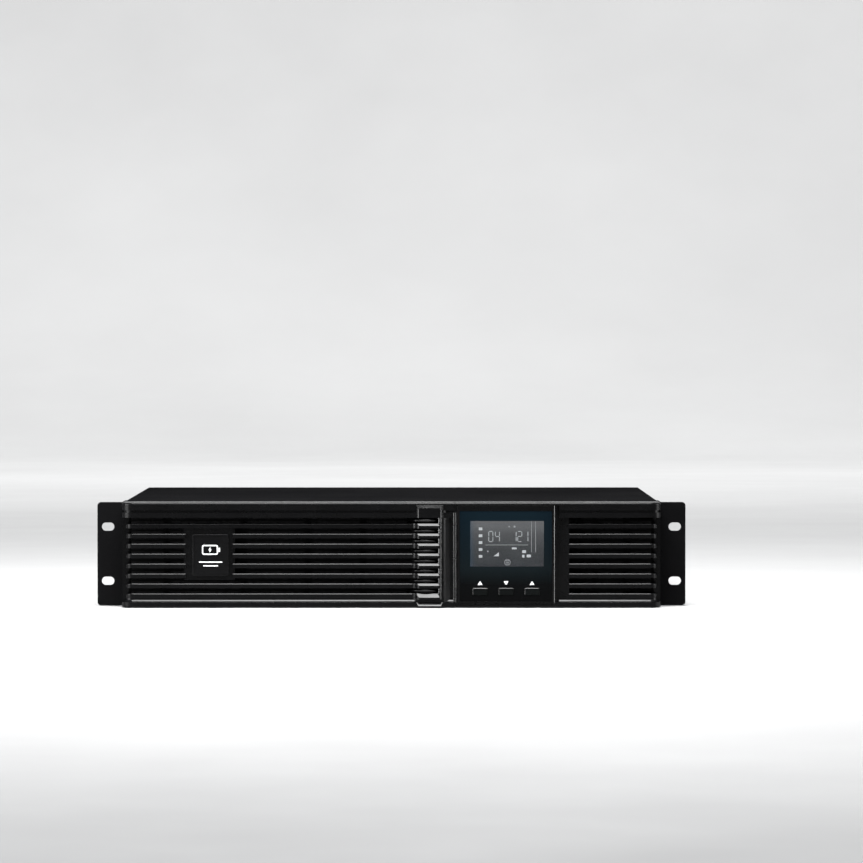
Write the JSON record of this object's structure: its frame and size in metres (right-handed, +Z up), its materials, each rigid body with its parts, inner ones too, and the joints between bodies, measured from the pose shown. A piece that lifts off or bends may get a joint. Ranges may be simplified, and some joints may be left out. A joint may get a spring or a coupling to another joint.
{
  "type": "rackmount uninterruptible power supply",
  "caption": "Low, wide rackmount power supply with a louvred front door over a battery tray, a square display with push buttons, mounting ears and a rear panel of outlets.",
  "frame": {"origin": "centre of the underside of the whole unit, midway across its ears and midway from the grip's crest to the rear-most point", "axes": "+X to the right seen from the front, +Y from the front to the rear, +Z up"},
  "size_m": [0.4826, 0.4105, 0.086],
  "materials": {
    "bezel_plastic": "satin moulded",
    "badge": "satin with a bright emblem",
    "studs": "moulded",
    "window": "gloss, dark blue-grey tint",
    "lens": "clear over the display",
    "display_panel": "grey, lit from behind",
    "circuit_board": "green solder mask",
    "buttons": "satin",
    "connector_plastic": "moulded",
    "powder_coat": "fine textured black powder coat",
    "plated_sheet": "zinc plated",
    "glides": "natural acetal",
    "battery_case": "dark grey moulded case",
    "terminals": "tinned and bare brass",
    "lead_red": "red insulation",
    "lead_black": "black insulation",
    "rubber": "matte",
    "handle": "coated wire",
    "screws": "black zinc",
    "heat_sink": "extruded",
    "capacitor": "dark blue sleeve",
    "component_plastic": "moulded",
    "ferrite": "green coated ferrite, wound with copper",
    "laminations": "varnished steel laminations",
    "coil_wrap": "yellow tape over copper",
    "fan_plastic": "moulded",
    "wire": "plated wire",
    "breaker_body": "moulded, plated ring nut",
    "breaker_cap": "moulded",
    "port_shell": "nickel plated shells",
    "terminal_green": "moulded"
  },
  "bodies": {
    "chassis": {"front_bezel": "bezel_plastic", "ball_studs": "studs", "plate_sockets": "connector_plastic", "chassis_base": "powder_coat", "top_cover": "powder_coat", "front_plate": "powder_coat", "rear_panel": "powder_coat", "ear_left": "powder_coat", "ear_right": "powder_coat", "bay_partition": "plated_sheet", "tray_glides": "glides", "main_board": "circuit_board", "control_board": "circuit_board", "heat_sinks": "heat_sink", "capacitors": "capacitor", "power_components": "component_plastic", "filter_choke": "ferrite", "internal_leads": "lead_black", "transformer_core": "laminations", "transformer_coil": "coil_wrap", "transformer_bracket": "plated_sheet", "fan_frame": "fan_plastic", "fan_guard": "wire", "outlet_bank_left": "connector_plastic", "outlet_bank_right": "connector_plastic", "power_inlet": "connector_plastic", "inlet_pins": "terminals", "breaker": "breaker_body", "earth_screw": "terminals", "port_board": "circuit_board", "data_ports": "port_shell", "stop_terminal": "terminal_green", "option_cover": "powder_coat", "pan_screws": "screws", "flat_screws": "screws"},
    "battery_door": {"battery_door": "bezel_plastic", "badge_plate": "badge"},
    "battery_tray": {"battery_tray": "plated_sheet", "battery_front_left": "battery_case", "battery_front_right": "battery_case", "battery_rear_left": "battery_case", "battery_rear_right": "battery_case", "battery_terminals": "terminals", "battery_lead_red": "lead_red", "battery_lead_black": "lead_black", "battery_plug": "connector_plastic", "lead_grommet": "rubber", "tray_handle": "handle", "thumbscrews": "screws"},
    "display_module": {"display_housing": "bezel_plastic", "display_window": "window", "lcd_lens": "lens", "lcd_panel": "display_panel", "display_board": "circuit_board", "display_back": "bezel_plastic"},
    "button_left": {"button_left": "buttons"},
    "button_middle": {"button_middle": "buttons"},
    "button_right": {"button_right": "buttons"},
    "fan_rotor": {"fan_rotor": "fan_plastic"},
    "breaker_button": {"breaker_button": "breaker_cap"}
  },
  "joints": [
    {"name": "battery_door_pull", "type": "slide", "parent": "chassis", "child": "battery_door", "axis": [0, -1, 0], "range_m": [0, 0.4]},
    {"name": "battery_tray_slide", "type": "slide", "parent": "chassis", "child": "battery_tray", "axis": [0, -1, 0], "range_m": [0, 0.32]},
    {"name": "display_pull", "type": "slide", "parent": "chassis", "child": "display_module", "axis": [0, -1, 0], "range_m": [0, 0.03]},
    {"name": "button_left_press", "type": "slide", "parent": "display_module", "child": "button_left", "axis": [0, 1, 0], "range_m": [0, 0.0008], "stiffness_N_per_m": 1500},
    {"name": "button_middle_press", "type": "slide", "parent": "display_module", "child": "button_middle", "axis": [0, 1, 0], "range_m": [0, 0.0008], "stiffness_N_per_m": 1500},
    {"name": "button_right_press", "type": "slide", "parent": "display_module", "child": "button_right", "axis": [0, 1, 0], "range_m": [0, 0.0008], "stiffness_N_per_m": 1500},
    {"name": "fan_spin", "type": "hinge", "parent": "chassis", "child": "fan_rotor", "pos_m": [0.165, 0.188, 0.043], "axis": [0, 1, 0], "continuous": true},
    {"name": "breaker_pop", "type": "slide", "parent": "chassis", "child": "breaker_button", "axis": [0, 1, 0], "range_m": [0, 0.004]}
  ],
  "couplings": [
    {"joint": "battery_tray_slide", "follows": "battery_door_pull", "ratio": 0.8}
  ]
}
